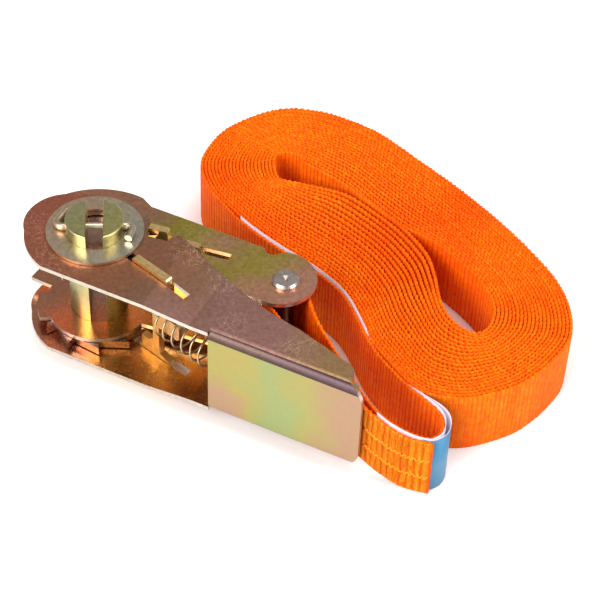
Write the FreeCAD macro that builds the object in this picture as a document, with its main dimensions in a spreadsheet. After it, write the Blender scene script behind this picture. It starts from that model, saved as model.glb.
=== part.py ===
"""Ratchet tie down: a light ratchet buckle with an endless strap wound beside it.

Row frame, millimetres: +Z up, the floor at z = 0. The mandrel stands upright, the side
plates lie flat, and the webbing stands on its edge. The frame and the closed handle are
both drawn in plan with U along the buckle's length and N towards its back, then turned
about the mandrel's axis.
"""
import FreeCAD, Part
import Sketcher
import math
import os
from FreeCAD import Placement, Rotation, Vector

os.makedirs("parts", exist_ok=True)
doc = FreeCAD.newDocument("ratchet_tie_down")

# ---------------------------------------------------------------- driving dimensions
DIMENSIONS = {
    "axis_x": -67.62,            # the mandrel's axis in the row frame
    "axis_y": -12.54,
    "buckle_turn": -24.5,       # the buckle's length, degrees from +X
    "mid_z": 25.8,              # height of the buckle's middle plane
    "plate": 1.5,               # thickness of the pressed plates
    "frame_half": 13.0,         # half the clear width between the frame plates
    "wheel_half": 14.75,        # inner face of a ratchet wheel, from the middle plane
    "wheel_thick": 3.0,
    "head_half": 18.2,          # half the clear width of the handle at the mandrel
    "grip_half": 16.8,          # half the clear width of the handle at the grip
    "mandrel_radius": 9.7,
    "mandrel_half": 25.8,
    "mandrel_slot": 5.6,
    "mandrel_turn": 4.5,        # the slot's turn from +Y at rest
    "mandrel_hole": 9.78,
    "washer_radius": 16.2,
    "washer_thick": 1.0,
    "washer_gap": 0.15,
    "cotter_radius": 1.3,
    "teeth": 12.0,
    "tip_radius": 20.4,
    "root_radius": 16.9,
    "tooth_turn": 4.5,          # direction of one radial tooth face at rest
    "work_radius": 17.8,        # frame edge where the drive pawl works on the teeth
    "lift_radius": 21.2,        # frame edge that holds the drive pawl off the teeth
    "stop_radius": 26.8,        # frame edge beyond the open notch
    "web_face": 24.2,           # outer face of the frame's web
    "web_start": 7.5,
    "web_end": 49.5,
    "end_u": 61.2,              # centre of the frame plates' rounded end
    "end_n": 14.0,
    "end_radius": 12.2,
    "rivet_u": 63.6,
    "rivet_n": 13.2,
    "rivet_radius": 3.0,
    "rivet_head": 4.5,
    "rivet_rise": 1.6,
    "pawl_thick": 2.5,
    "drive_turn": -16.0,        # drive pawl's travel, degrees from U
    "drive_nose": 21.6,
    "drive_rear": 34.5,
    "drive_in": 2.3,
    "drive_out": 6.5,
    "lock_turn": 8.0,           # lock pawl's travel, degrees from U
    "lock_offset": 8.8,
    "lock_nose": 16.0,
    "lock_rear": 33.5,
    "lock_out": 9.0,
    "slot_gap": 0.25,
    "bridge_face": 22.2,        # outer face of the grip's bridge, in front of the axis
    "bridge_start": 53.7,
    "bridge_end": 107.5,
    "bend_radius": 3.0,
    "spring_wire": 0.9,
    "drive_coil_radius": 4.9,
    "lock_coil_radius": 4.4,
    "web_width": 25.0,          # webbing: 25 mm wide
    "web_thick": 1.25,
    "label_thick": 0.3,
    "label_stand_off": 1.5,     # how far the label's pages stand off the strap at the fold
    "coil_gap": 0.4,            # between the returning strap with its label and the coil
    "stitch": 0.5,
}
sheet = doc.addObject("Spreadsheet::Sheet", "dims")
for row, (alias, value) in enumerate(DIMENSIONS.items(), start=1):
    sheet.set(f"A{row}", alias)
    sheet.set(f"B{row}", str(value))
    sheet.setAlias(f"B{row}", alias)
doc.recompute()


def dim(alias):
    """The value of one cell of the sheet."""
    return float(getattr(sheet, alias))


AXIS = Vector(dim("axis_x"), dim("axis_y"), 0)
FRAME_HALF = dim("frame_half")
FRAME_OUTER = FRAME_HALF + dim("plate")
HEAD_OUTER = dim("head_half") + dim("plate")
GRIP_OUTER = dim("grip_half") + dim("plate")
WHEEL_OUTER = dim("wheel_half") + dim("wheel_thick")
WASHER_INNER = HEAD_OUTER + dim("washer_gap")
WASHER_OUTER = WASHER_INNER + dim("washer_thick")


# ---------------------------------------------------------------- shared helpers
def at_mandrel(turn=0.0, z=None):
    """Placement on the mandrel's axis, turned about it."""
    height = dim("mid_z") if z is None else z
    return Placement(Vector(AXIS.x, AXIS.y, height), Rotation(Vector(0, 0, 1), turn))


def polar(radius, degrees):
    """Point of the plan at a radius and a direction."""
    angle = math.radians(degrees)
    return Vector(radius * math.cos(angle), radius * math.sin(angle), 0)


def on_line(along, offset, degrees):
    """Plan point at a distance along a line and an offset to its left."""
    return polar(along, degrees) + polar(offset, degrees + 90)


def plane(body, role):
    """One of the body's own origin planes."""
    return next(f for f in body.Origin.OriginFeatures if f.Role == role)


def new_body(label):
    body = doc.addObject("PartDesign::Body", label)
    body.Label = label
    return body


def new_sketch(body, name, role="XY_Plane", lift=0.0):
    """Empty sketch on one of the body's origin planes, lifted along its normal."""
    sketch = body.newObject("Sketcher::SketchObject", name)
    sketch.AttachmentSupport = [(plane(body, role), "")]
    sketch.MapMode = "FlatFace"
    sketch.AttachmentOffset = Placement(Vector(0, 0, lift), Rotation())
    return sketch


def add_chain(sketch, edges):
    """Adds a closed chain of lines and arcs to a sketch."""
    for edge in edges:
        sketch.addGeometry(edge, False)


def lines(points):
    """Straight edges from each point to the next."""
    return [Part.LineSegment(a, b) for a, b in zip(points, points[1:])]


def arc(centre, start, end, clockwise=False):
    """Arc about a centre from one point to another."""
    first = math.atan2(start.y - centre.y, start.x - centre.x)
    last = math.atan2(end.y - centre.y, end.x - centre.x)
    if clockwise:
        first, last = last, first
    circle = Part.Circle(centre, Vector(0, 0, 1), (start - centre).Length)
    return Part.ArcOfCircle(circle, first, last)


def add_bound_circle(sketch, centre, alias):
    """Full circle whose radius follows a cell."""
    index = sketch.addGeometry(Part.Circle(centre, Vector(0, 0, 1), dim(alias)), False)
    name = f"radius_{index}"
    constraint = sketch.addConstraint(Sketcher.Constraint("Radius", index, dim(alias)))
    sketch.renameConstraint(constraint, name)
    sketch.setExpression(f"Constraints.{name}", f"dims.{alias}")
    return index


def pad(body, sketch, name, length, middle=False):
    """Pad whose length is an expression of the sheet."""
    feature = body.newObject("PartDesign::Pad", name)
    feature.Profile = sketch
    feature.Midplane = middle
    feature.setExpression("Length", length)
    doc.recompute()
    return feature


def pocket(body, sketch, name):
    """Cut through everything, both ways from the sketch."""
    before = body.Shape.Volume
    feature = body.newObject("PartDesign::Pocket", name)
    feature.Profile = sketch
    feature.Type = 1
    feature.Midplane = True
    doc.recompute()
    if body.Shape.Volume >= before - 1e-6:
        raise RuntimeError(f"{name} cuts nothing")
    return feature


def mirror_over_middle(body, feature, name):
    """Copies a feature to the other side of the middle plane."""
    mirrored = body.newObject("PartDesign::Mirrored", name)
    mirrored.Originals = [feature]
    mirrored.MirrorPlane = (plane(body, "XY_Plane"), [""])
    body.Tip = mirrored
    doc.recompute()
    return mirrored


def slot_chain(along_start, along_end, offset, half, degrees):
    """Straight slot with square ends along a line of travel."""
    corners = [
        on_line(along_start, offset - half, degrees),
        on_line(along_end, offset - half, degrees),
        on_line(along_end, offset + half, degrees),
        on_line(along_start, offset + half, degrees),
    ]
    return lines(corners + corners[:1])


def shape_feature(label, shape, placement=Placement()):
    feature = doc.addObject("Part::Feature", label)
    feature.Label = label
    feature.Shape = shape
    feature.Placement = placement
    return feature


parts = []


# ---------------------------------------------------------------- mandrel
def make_half_moon(label, side):
    """Half of the split mandrel: a D section, drilled across for both split pins."""
    bar = doc.addObject("Part::Cylinder", f"{label}_bar")
    bar.setExpression("Radius", "dims.mandrel_radius")
    bar.setExpression("Height", "2 * dims.mandrel_half")
    bar.setExpression(".Placement.Base.z", "-dims.mandrel_half")
    waste = doc.addObject("Part::Box", f"{label}_waste")
    waste.setExpression("Length", "dims.mandrel_radius + dims.mandrel_slot / 2 + 1")
    waste.setExpression("Width", "2 * dims.mandrel_radius + 2")
    waste.setExpression("Height", "2 * dims.mandrel_half + 2")
    start = "-dims.mandrel_radius - 1" if side > 0 else "-dims.mandrel_slot / 2"
    waste.setExpression(".Placement.Base.x", start)
    waste.setExpression(".Placement.Base.y", "-dims.mandrel_radius - 1")
    waste.setExpression(".Placement.Base.z", "-dims.mandrel_half - 1")
    half = doc.addObject("Part::Cut", f"{label}_half")
    half.Base = bar
    half.Tool = waste
    drills = []
    for end in (-1, 1):
        drill = doc.addObject("Part::Cylinder", f"{label}_drill_{'upper' if end > 0 else 'lower'}")
        drill.setExpression("Radius", "dims.cotter_radius + 0.05")
        drill.setExpression("Height", "2 * dims.mandrel_radius + 4")
        across = Rotation(Vector(0, 1, 0), 90)
        drill.Placement = Placement(Vector(-dim("mandrel_radius") - 2, 0, end * COTTER_Z), across)
        drills.append(drill)
    both = doc.addObject("Part::MultiFuse", f"{label}_drills")
    both.Shapes = drills
    drilled = doc.addObject("Part::Cut", f"{label}_drilled")
    drilled.Base = half
    drilled.Tool = both
    doc.recompute()
    rims = [
        (index + 1, 0.5, 0.5)
        for index, edge in enumerate(drilled.Shape.Edges)
        if abs(abs(edge.BoundBox.Center.z) - dim("mandrel_half")) < 1e-3
    ]
    body = doc.addObject("Part::Fillet", label)
    body.Base = drilled
    body.Edges = rims
    body.Label = label
    body.Placement = at_mandrel(dim("mandrel_turn"))
    parts.append(body)


def make_washer(label, side):
    """Large thin washer outside a handle plate."""
    body = new_body(label)
    sketch = new_sketch(body, f"{label}_rings")
    add_bound_circle(sketch, Vector(), "washer_radius")
    add_bound_circle(sketch, Vector(), "mandrel_hole")
    pad(body, sketch, f"{label}_pad", "dims.washer_thick")
    low = WASHER_INNER if side > 0 else -WASHER_OUTER
    body.Placement = at_mandrel(dim("mandrel_turn"), dim("mid_z") + low)
    parts.append(body)


def moon_hole(side):
    """D-shaped hole of a wheel, a little larger than its half moon."""
    radius = dim("mandrel_hole")
    flat = dim("mandrel_slot") / 2 - 0.08
    rise = math.sqrt(radius ** 2 - flat ** 2)
    top = Vector(side * flat, rise, 0)
    bottom = Vector(side * flat, -rise, 0)
    if side > 0:
        return [Part.LineSegment(top, bottom), arc(Vector(), bottom, top)]
    return [Part.LineSegment(bottom, top), arc(Vector(), top, bottom)]


def make_wheel(label, side):
    """Ratchet wheel: long ramps and radial faces, keyed to both half moons."""
    body = new_body(label)
    disc = new_sketch(body, f"{label}_disc")
    add_bound_circle(disc, Vector(), "root_radius")
    pad(body, disc, f"{label}_disc_pad", "dims.wheel_thick")
    pitch = 360 / dim("teeth")
    tooth = new_sketch(body, f"{label}_tooth")
    inner = dim("root_radius") - 1.5
    face = dim("tooth_turn") - dim("mandrel_turn")
    corners = [
        polar(inner, face),
        polar(dim("tip_radius"), face),
        polar(dim("root_radius"), face - pitch),
        polar(inner, face - pitch),
    ]
    add_chain(tooth, lines(corners + corners[:1]))
    tooth_pad = pad(body, tooth, f"{label}_tooth_pad", "dims.wheel_thick")
    ring = body.newObject("PartDesign::PolarPattern", f"{label}_ring")
    ring.Originals = [tooth_pad]
    ring.Axis = (next(f for f in body.Origin.OriginFeatures if f.Role == "Z_Axis"), [""])
    ring.Angle = 360
    ring.setExpression("Occurrences", "dims.teeth")
    body.Tip = ring
    doc.recompute()
    holes = new_sketch(body, f"{label}_holes")
    for moon in (-1, 1):
        add_chain(holes, moon_hole(moon))
    pocket(body, holes, f"{label}_hole_cut")
    low = dim("wheel_half") if side > 0 else -WHEEL_OUTER
    body.Placement = at_mandrel(dim("mandrel_turn"), dim("mid_z") + low)
    parts.append(body)


def bent_end(reach, radius, turn, tail):
    """Plan points of a wire end that leaves along +X and turns clockwise round the mandrel."""
    centre = Vector(reach, -radius, 0)
    points = [
        centre + Vector(radius * math.sin(share * turn), radius * math.cos(share * turn), 0)
        for share in (0, 0.5, 1)
    ]
    points.append(points[-1] + Vector(math.cos(turn), -math.sin(turn), 0) * tail)
    return points


def make_split_pin(label, side):
    """Split pin through both half moons, its ends bent round the mandrel."""
    reach = dim("mandrel_radius") + 0.7
    radius = 2.0
    right = bent_end(reach, radius, math.radians(110), 3.6)
    left = [Vector(-p.x, -p.y, 0) for p in bent_end(reach, radius, math.radians(118), 5.6)]
    path = Part.Wire([
        Part.LineSegment(left[3], left[2]).toShape(),
        Part.Arc(left[2], left[1], left[0]).toShape(),
        Part.LineSegment(left[0], right[0]).toShape(),
        Part.Arc(right[0], right[1], right[2]).toShape(),
        Part.LineSegment(right[2], right[3]).toShape(),
    ])
    start = path.Edges[0].valueAt(path.Edges[0].FirstParameter)
    heading = path.Edges[0].tangentAt(path.Edges[0].FirstParameter)
    ring = Part.Wire(Part.Circle(start, heading, dim("cotter_radius")).toShape())
    shape = path.makePipeShell([ring], True, True)
    feature = shape_feature(label, shape)
    feature.Placement = at_mandrel(dim("mandrel_turn"), dim("mid_z") + side * COTTER_Z)
    parts.append(feature)


COTTER_Z = WASHER_OUTER + 0.15 + dim("cotter_radius")


# ---------------------------------------------------------------- frame
def frame_plate_chain():
    """Outline of one frame plate: round head with its cam steps, straight back, pin end."""
    centre = Vector()
    end = Vector(dim("end_u"), dim("end_n"), 0)
    end_radius = dim("end_radius")
    web = dim("web_face")
    back_turn = 84.0
    stop_turn = 181.5
    notch_floor = 18.4
    notch_turn = 194.5
    lift_end = 229.0
    work_end = 352.0
    end_turn_top = 105.0
    end_turn_low = 261.0
    p_back = polar(dim("stop_radius"), back_turn)
    p_stop = polar(dim("stop_radius"), stop_turn)
    p_stop_in = polar(notch_floor, stop_turn + 1.5)
    p_notch_in = polar(notch_floor, notch_turn - 0.5)
    p_notch = polar(dim("lift_radius"), notch_turn)
    p_lift = polar(dim("lift_radius"), lift_end)
    p_step = polar(dim("work_radius"), lift_end + 3)
    p_work = polar(dim("work_radius"), work_end)
    p_front = Vector(50.0, 1.5, 0)
    p_low = end + polar(end_radius, end_turn_low)
    p_high = end + polar(end_radius, end_turn_top)
    web_end = dim("web_end")
    return (
        [arc(centre, p_back, p_stop)]
        + lines([p_stop, p_stop_in])
        + [arc(centre, p_stop_in, p_notch_in)]
        + lines([p_notch_in, p_notch])
        + [arc(centre, p_notch, p_lift)]
        + lines([p_lift, p_step])
        + [arc(centre, p_step, p_work)]
        + lines([p_work, p_front, p_low])
        + [arc(end, p_low, p_high)]
        + lines([
            p_high,
            Vector(web_end + 4.6, web - 1.9, 0),
            Vector(web_end + 2.6, web - 1.9, 0),
            Vector(web_end + 0.8, web, 0),
            Vector(web_end, web, 0),
            Vector(dim("web_start"), web, 0),
            p_back,
        ])
    )


def make_frame_channel():
    """Bent channel: two side plates joined by a web, with a lug that seats the lock spring."""
    body = new_body("frame_channel")
    web = new_sketch(body, "frame_web")
    web_inner = dim("web_face") - dim("plate")
    corners = [
        Vector(dim("web_start"), web_inner, 0),
        Vector(dim("web_end"), web_inner, 0),
        Vector(dim("web_end"), dim("web_face"), 0),
        Vector(dim("web_start"), dim("web_face"), 0),
    ]
    add_chain(web, lines(corners + corners[:1]))
    pad(body, web, "frame_web_pad", "2 * (dims.frame_half + dims.plate)", middle=True)
    plate = new_sketch(body, "frame_plate", lift=FRAME_HALF)
    add_chain(plate, frame_plate_chain())
    plate_pad = pad(body, plate, "frame_plate_pad", "dims.plate")
    mirror_over_middle(body, plate_pad, "frame_plate_pair")
    lug = new_sketch(body, "frame_lug")
    lug_end = dim("web_end")
    corners = [
        Vector(lug_end - dim("plate"), 7.5, 0),
        Vector(lug_end, 7.5, 0),
        Vector(lug_end, web_inner + 0.5, 0),
        Vector(lug_end - dim("plate"), web_inner + 0.5, 0),
    ]
    add_chain(lug, lines(corners + corners[:1]))
    pad(body, lug, "frame_lug_pad", "13", middle=True)
    holes = new_sketch(body, "frame_holes")
    holes.addGeometry(Part.Circle(Vector(), Vector(0, 0, 1), dim("mandrel_hole")), False)
    pin = Vector(dim("rivet_u"), dim("rivet_n"), 0)
    holes.addGeometry(Part.Circle(pin, Vector(0, 0, 1), dim("rivet_radius") + 0.03), False)
    half = dim("pawl_thick") / 2 + dim("slot_gap")
    slot_end = dim("lock_rear") + dim("lock_out") + 1.5
    add_chain(holes, slot_chain(15.4, slot_end, dim("lock_offset"), half, dim("lock_turn")))
    pocket(body, holes, "frame_hole_cut")
    body.Placement = at_mandrel(dim("buckle_turn"))
    parts.append(body)


def make_anchor_rivet():
    """Rivet that the strap's sewn loop turns on, with a dimpled head at each end."""
    body = new_body("anchor_rivet")
    sketch = new_sketch(body, "rivet_half", role="XZ_Plane")
    radius = dim("rivet_radius")
    head = dim("rivet_head")
    top = FRAME_OUTER + dim("rivet_rise")
    face = FRAME_OUTER + 0.03
    dimple = 1.3
    half = [
        Vector(0, top - 0.8, 0),
        Vector(dimple, top, 0),
        Vector(head - 0.7, top, 0),
        Vector(head, top - 0.7, 0),
        Vector(head, face, 0),
        Vector(radius, face, 0),
    ]
    other = [Vector(p.x, -p.y, 0) for p in reversed(half)]
    ring = half + other
    add_chain(sketch, lines(ring + ring[:1]))
    spin = body.newObject("PartDesign::Revolution", "rivet_spin")
    spin.Profile = sketch
    spin.ReferenceAxis = (sketch, ["V_Axis"])
    spin.Angle = 360
    doc.recompute()
    turn = Rotation(Vector(0, 0, 1), dim("buckle_turn"))
    place = turn.multVec(Vector(dim("rivet_u"), dim("rivet_n"), 0))
    body.Placement = Placement(AXIS + place + Vector(0, 0, dim("mid_z")), Rotation())
    parts.append(body)


# ---------------------------------------------------------------- pawls and springs
def make_pawl(label, half_profile, turn, offset):
    """Flat pawl: its profile lies in the plane of the mandrel's axis and its travel."""
    body = new_body(label)
    sketch = new_sketch(body, f"{label}_profile", role="XZ_Plane")
    upper = [Vector(along, rise, 0) for along, rise in half_profile]
    lower = [Vector(along, -rise, 0) for along, rise in reversed(half_profile)]
    ring = upper + lower
    add_chain(sketch, lines(ring + ring[:1]))
    pad(body, sketch, f"{label}_pad", "dims.pawl_thick", middle=True)
    direction = dim("buckle_turn") + turn
    base = AXIS + polar(offset, direction + 90) + Vector(0, 0, dim("mid_z"))
    body.Placement = Placement(base, Rotation(Vector(0, 0, 1), direction))
    parts.append(body)


def make_drive_pawl():
    """Handle's pawl: a nose at each wheel, tabs through the handle slots, a spring tongue."""
    nose = dim("drive_nose")
    rear = dim("drive_rear")
    washer_clear = dim("washer_radius") + 0.2 + dim("drive_in")
    tab_rise = HEAD_OUTER + 1.7
    back = rear - 4.5
    profile = [
        (back - 2.8, 10.4),
        (back - 4.8, 12.4),
        (nose, 12.4),
        (nose, dim("head_half") - 0.2),
        (washer_clear, dim("head_half") - 0.2),
        (washer_clear, tab_rise - 0.5),
        (washer_clear + 0.5, tab_rise),
        (rear - 0.5, tab_rise),
        (rear, tab_rise - 0.5),
        (rear, dim("head_half") - 1.2),
        (back, dim("head_half") - 2.2),
        (back, 3.4),
        (rear + 4.0, 3.4),
        (rear + 5.0, 2.4),
    ]
    make_pawl("drive_pawl", profile, dim("drive_turn"), 0.0)


def make_lock_pawl():
    """Frame's pawl: noses in the teeth, release tabs beside the handle plates, a tongue."""
    nose = dim("lock_nose")
    rear = dim("lock_rear")
    tab_start = 15.6
    tab_end = 22.6
    low_rise = FRAME_OUTER + 1.8
    profile = [
        (24.5, 9.0),
        (20.0, 11.0),
        (20.0, FRAME_HALF - 0.3),
        (nose, FRAME_HALF - 0.3),
        (nose, WHEEL_OUTER + 0.2),
        (tab_start, WHEEL_OUTER + 0.2),
        (tab_start, HEAD_OUTER - 0.3),
        (tab_start + 0.4, HEAD_OUTER + 0.1),
        (tab_end - 0.6, HEAD_OUTER + 0.1),
        (tab_end, HEAD_OUTER - 0.5),
        (tab_end, low_rise),
        (rear, low_rise),
        (rear, 3.2),
        (rear + 4.5, 3.2),
        (rear + 5.3, 2.4),
    ]
    make_pawl("lock_pawl", profile, dim("lock_turn"), dim("lock_offset"))


def make_spring(label, radius_alias, start, end, turns, turn, offset):
    """Open coil spring on a pawl's tongue."""
    wire = dim("spring_wire")
    helix = doc.addObject("Part::Helix", f"{label}_helix")
    helix.setExpression("Radius", f"dims.{radius_alias}")
    helix.Height = end - start - wire
    helix.Pitch = (end - start - wire) / turns
    ring = doc.addObject("Part::Circle", f"{label}_wire")
    ring.setExpression("Radius", "dims.spring_wire / 2")
    ring.Placement = Placement(Vector(dim(radius_alias), 0, 0), Rotation(Vector(1, 0, 0), 90))
    spring = doc.addObject("Part::Sweep", label)
    spring.Sections = [ring]
    spring.Spine = (helix, ["Edge1"])
    spring.Solid = True
    spring.Frenet = True
    spring.Label = label
    direction = dim("buckle_turn") + turn
    base = AXIS + on_line(start + wire / 2, offset, direction) + Vector(0, 0, dim("mid_z"))
    lean = Rotation(Vector(0, 0, 1), direction).multiply(Rotation(Vector(0, 1, 0), 90))
    spring.Placement = Placement(base, lean)
    doc.recompute()
    parts.append(spring)


# ---------------------------------------------------------------- handle
def handle_outline():
    """Plan of a handle plate: release lobe, open sector, tab recess, tapering grip."""
    centre = Vector()
    front = -dim("bridge_face")
    open_radius = 16.75
    lobe = [(126.0, 18.3), (136.0, 19.6), (147.0, 21.3), (163.0, 23.6), (180.0, 24.7), (206.0, 23.4)]
    lobe_points = [polar(radius, turn) for turn, radius in lobe]
    tangent = polar(23.4, 251.6)
    open_start = polar(open_radius, 22.0)
    open_end = polar(open_radius, 116.0)
    rise = Part.BSplineCurve()
    rise.interpolate([open_end] + lobe_points)
    grip_end = Vector(102.0, -19.2, 0)
    return Part.Wire(
        [arc(centre, open_start, open_end).toShape(), rise.toShape()]
        + [arc(centre, lobe_points[-1], tangent).toShape()]
        + [edge.toShape() for edge in lines([
            tangent,
            Vector(dim("bridge_start"), front, 0),
            Vector(dim("bridge_start"), front + dim("bend_radius"), 0),
            grip_end,
        ])]
        + [Part.Arc(grip_end, Vector(101.6, -15.4, 0), Vector(98.6, -13.3, 0)).toShape()]
        + [edge.toShape() for edge in lines([
            Vector(98.6, -13.3, 0),
            Vector(79.0, -7.4, 0),
        ])]
        + [Part.Arc(Vector(79.0, -7.4, 0), Vector(64.0, -4.0, 0), Vector(51.0, 0.8, 0)).toShape()]
        + [edge.toShape() for edge in lines([
            Vector(51.0, 0.8, 0),
            Vector(26.0, 11.6, 0),
            Vector(23.8, 11.0, 0),
            Vector(23.0, 7.2, 0),
            open_start,
        ])]
    )


def sheet_profile(side):
    """Long section of a handle plate: level at the head, stepped in at the grip."""
    step_start = 30.0
    step_end = 47.0
    head = dim("head_half")
    grip = dim("grip_half")
    plate = dim("plate")
    points = [
        Vector(-30, 0, side * head),
        Vector(step_start, 0, side * head),
        Vector(step_end, 0, side * grip),
        Vector(110, 0, side * grip),
        Vector(110, 0, side * (grip + plate)),
        Vector(step_end, 0, side * (grip + plate)),
        Vector(step_start, 0, side * (head + plate)),
        Vector(-30, 0, side * (head + plate)),
    ]
    return Part.makePolygon(points + points[:1])


def bridge_section():
    """Section of the grip: both bends and the bridge between them."""
    outer = dim("bend_radius")
    inner = outer - dim("plate")
    face = -dim("bridge_face")
    start = Vector(0, face + outer, 0)
    corner = math.sin(math.pi / 4)
    edges = []
    for radius, half in ((outer, GRIP_OUTER), (inner, dim("grip_half"))):
        level = half - radius
        edge_n = start.y - radius
        middle = start.y - radius * corner
        edges.append([
            Vector(0, start.y, half),
            Vector(0, middle, level + radius * corner),
            Vector(0, edge_n, level),
            Vector(0, edge_n, -level),
            Vector(0, middle, -level - radius * corner),
            Vector(0, start.y, -half),
        ])
    out, ins = edges
    wire = [
        Part.Arc(out[0], out[1], out[2]).toShape(),
        Part.LineSegment(out[2], out[3]).toShape(),
        Part.Arc(out[3], out[4], out[5]).toShape(),
        Part.LineSegment(out[5], ins[5]).toShape(),
        Part.Arc(ins[5], ins[4], ins[3]).toShape(),
        Part.LineSegment(ins[3], ins[2]).toShape(),
        Part.Arc(ins[2], ins[1], ins[0]).toShape(),
        Part.LineSegment(ins[0], out[0]).toShape(),
    ]
    return Part.Face(Part.Wire(wire))


def rounded_grip_end():
    """Front view of the bridge: square at its start, two rounded corners at the grip's end."""
    start = dim("bridge_start")
    end = dim("bridge_end")
    top = GRIP_OUTER
    low = -GRIP_OUTER
    corner = 6.5
    inset = corner * (1 - math.sin(math.pi / 4))
    front = -dim("bridge_face") - 1
    points = [
        Vector(start, front, low),
        Vector(start, front, top),
        Vector(end - corner, front, top),
        Vector(end, front, top - corner),
        Vector(end, front, low + corner),
        Vector(end - corner, front, low),
    ]
    edges = [
        Part.LineSegment(points[0], points[1]).toShape(),
        Part.LineSegment(points[1], points[2]).toShape(),
        Part.Arc(points[2], Vector(end - inset, front, top - inset), points[3]).toShape(),
        Part.LineSegment(points[3], points[4]).toShape(),
        Part.Arc(points[4], Vector(end - inset, front, low + inset), points[5]).toShape(),
        Part.LineSegment(points[5], points[0]).toShape(),
    ]
    return Part.Face(Part.Wire(edges))


def make_handle_channel():
    """Pressed handle: two stepped side plates, the grip's bridge and the spring's lug."""
    wide = 40
    outline = Part.Face(handle_outline()).extrude(Vector(0, 0, 2 * wide))
    outline.translate(Vector(0, 0, -wide))
    shape = None
    for side in (-1, 1):
        strip = Part.Face(sheet_profile(side)).extrude(Vector(0, 2 * wide, 0))
        strip.translate(Vector(0, -wide, 0))
        plate = outline.common(strip)
        shape = plate if shape is None else shape.fuse(plate)
    length = dim("bridge_end") - dim("bridge_start")
    bridge = bridge_section().extrude(Vector(length, 0, 0))
    bridge.translate(Vector(dim("bridge_start"), 0, 0))
    bridge = bridge.common(rounded_grip_end().extrude(Vector(0, 8, 0)))
    lug_start = Vector(dim("bridge_start"), -dim("bridge_face") + dim("plate") - 0.5, -7)
    lug = Part.makeBox(dim("plate"), 13.5, 14, lug_start)
    shape = shape.fuse([bridge, lug]).removeSplitter()
    hole = Part.makeCylinder(dim("mandrel_hole"), 2 * wide, Vector(0, 0, -wide))
    half = dim("pawl_thick") / 2 + dim("slot_gap")
    slot_end = dim("drive_rear") + dim("drive_out") + 1.2
    corners = [
        on_line(13.6, -half, dim("drive_turn")),
        on_line(slot_end, -half, dim("drive_turn")),
        on_line(slot_end, half, dim("drive_turn")),
        on_line(13.6, half, dim("drive_turn")),
    ]
    slot = Part.Face(Part.makePolygon(corners + corners[:1])).extrude(Vector(0, 0, 2 * wide))
    slot.translate(Vector(0, 0, -wide))
    shape = shape.cut([hole, slot])
    if shape.ShapeType == "Compound":
        shape = shape.Solids[0]
    feature = shape_feature("handle_channel", shape)
    feature.Placement = at_mandrel(dim("buckle_turn"))
    parts.append(feature)


# ---------------------------------------------------------------- webbing
# Plan route of the strap, from the mandrel's axis, with the height of its lower edge:
# sewn tail, out along the grip, round the rivet, back beside itself, fold, return.
STRAP_ROUTE = [
    (112.0, -67.6, 0.0), (103.2, -65.5, 0.6), (95.6, -63.0, 4.2), (88.0, -59.6, 9.4),
    (79.5, -51.6, 10.6), (69.6, -38.8, 12.0), (60.6, -26.4, 13.2), (57.2, -19.6, 13.3),
    (56.4, -14.6, 13.3), (57.6, -10.6, 13.3), (60.6, -8.2, 13.3), (64.4, -7.8, 13.3),
    (68.2, -9.6, 13.3), (70.3, -13.4, 13.3), (71.2, -19.0, 13.3), (74.2, -28.6, 13.0),
    (79.8, -40.0, 12.0), (85.4, -50.0, 10.8), (90.2, -57.6, 9.0), (96.6, -61.3, 4.2),
    (104.0, -63.5, 0.6), (110.0, -65.2, 0.0), (112.6, -64.4, 0.0), (114.4, -62.3, 0.0),
    (115.1, -59.2, 0.0), (114.8, -56.0, 0.0), (113.2, -53.0, 0.0), (110.0, -49.4, 0.0),
    (104.3, -43.4, 0.0), (99.4, -37.2, 0.0), (95.2, -31.1, 0.0), (91.9, -25.2, 0.0),
    (89.3, -18.9, 0.0), (87.0, -12.6, 0.0), (84.2, -6.2, 0.0), (80.2, -0.1, 0.0),
    (71.4, 8.9, 0.0), (60.6, 17.4, 0.0), (50.4, 26.6, 0.0), (44.0, 33.6, 0.0),
]
LABEL_SPAN = range(20, 39)      # points of the route that the label passes
FOLD_SPAN = range(21, 28)       # points between which the label's pages stand off
COIL_SIDE = range(28, 39)       # points that the coil lies beside


def left_of(route, index):
    """Mitred offset to the left of the route at one of its points, seen from above."""
    steps = []
    for start, end in ((index - 1, index), (index, index + 1)):
        if 0 <= start and end < len(route):
            step = Vector(*route[end][:2], 0) - Vector(*route[start][:2], 0)
            steps.append(step.normalize())
    into, out = steps[0], steps[-1]
    left = Vector(-into.y - out.y, into.x + out.x, 0).normalize()
    return left / max(left.dot(Vector(-into.y, into.x, 0)), 0.6)


def beside(index, distance):
    """Plan point at a distance to the left of one of the strap route's points."""
    return Vector(*STRAP_ROUTE[index][:2], 0) + left_of(STRAP_ROUTE, index) * distance


def make_strap_run():
    """Uncoiled webbing: sewn loop round the rivet, fold and return to the coil."""
    sections = []
    half = dim("web_thick") / 2
    for index, (_, _, low) in enumerate(STRAP_ROUTE):
        near, far = beside(index, -half), beside(index, half)
        base = Vector(0, 0, low)
        top = Vector(0, 0, low + dim("web_width"))
        ring = [near + base, far + base, far + top, near + top]
        sections.append(Part.makePolygon(ring + ring[:1]))
    shape = Part.makeLoft(sections, True, True)
    parts.append(shape_feature("strap_run", shape, Placement(AXIS, Rotation())))


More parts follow.
